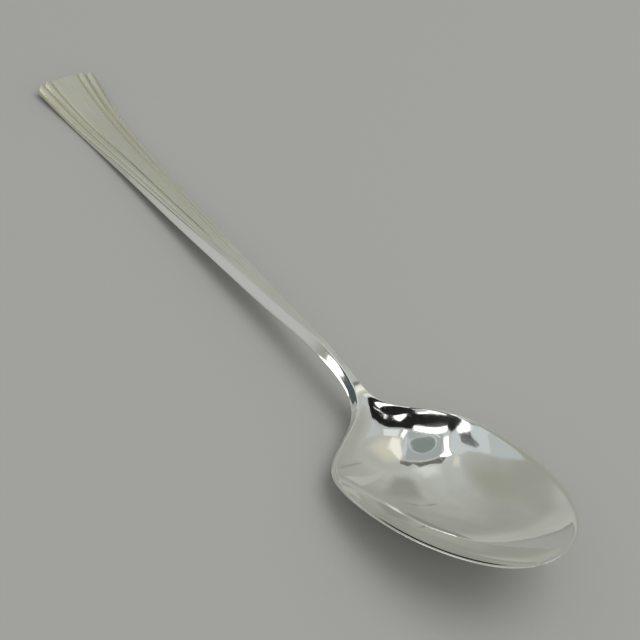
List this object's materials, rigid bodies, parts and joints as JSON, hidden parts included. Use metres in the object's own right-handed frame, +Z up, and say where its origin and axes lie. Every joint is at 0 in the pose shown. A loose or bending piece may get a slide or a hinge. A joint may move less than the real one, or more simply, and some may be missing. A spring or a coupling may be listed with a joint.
{
  "type": "tablespoon",
  "caption": "Polished silver tablespoon with an egg-shaped bowl, a narrow arched neck and a fan-shaped handle with rounded ribs along both sides.",
  "frame": {"origin": "on the table, below the middle of the spoon's length and width", "axes": "+X along the spoon from the end of the handle to the tip of the bowl, +Z up out of the bowl, spoon lying face up on a table at z = 0"},
  "size_m": [0.21, 0.0458, 0.0232],
  "materials": {
    "polished_silver": "hand-polished silver plate with fine wiping scratches and a trace of warm tarnish between the ribs"
  },
  "bodies": {
    "root": {"fan_end": "polished_silver", "stem": "polished_silver", "neck": "polished_silver", "bowl": "polished_silver"}
  },
  "joints": []
}
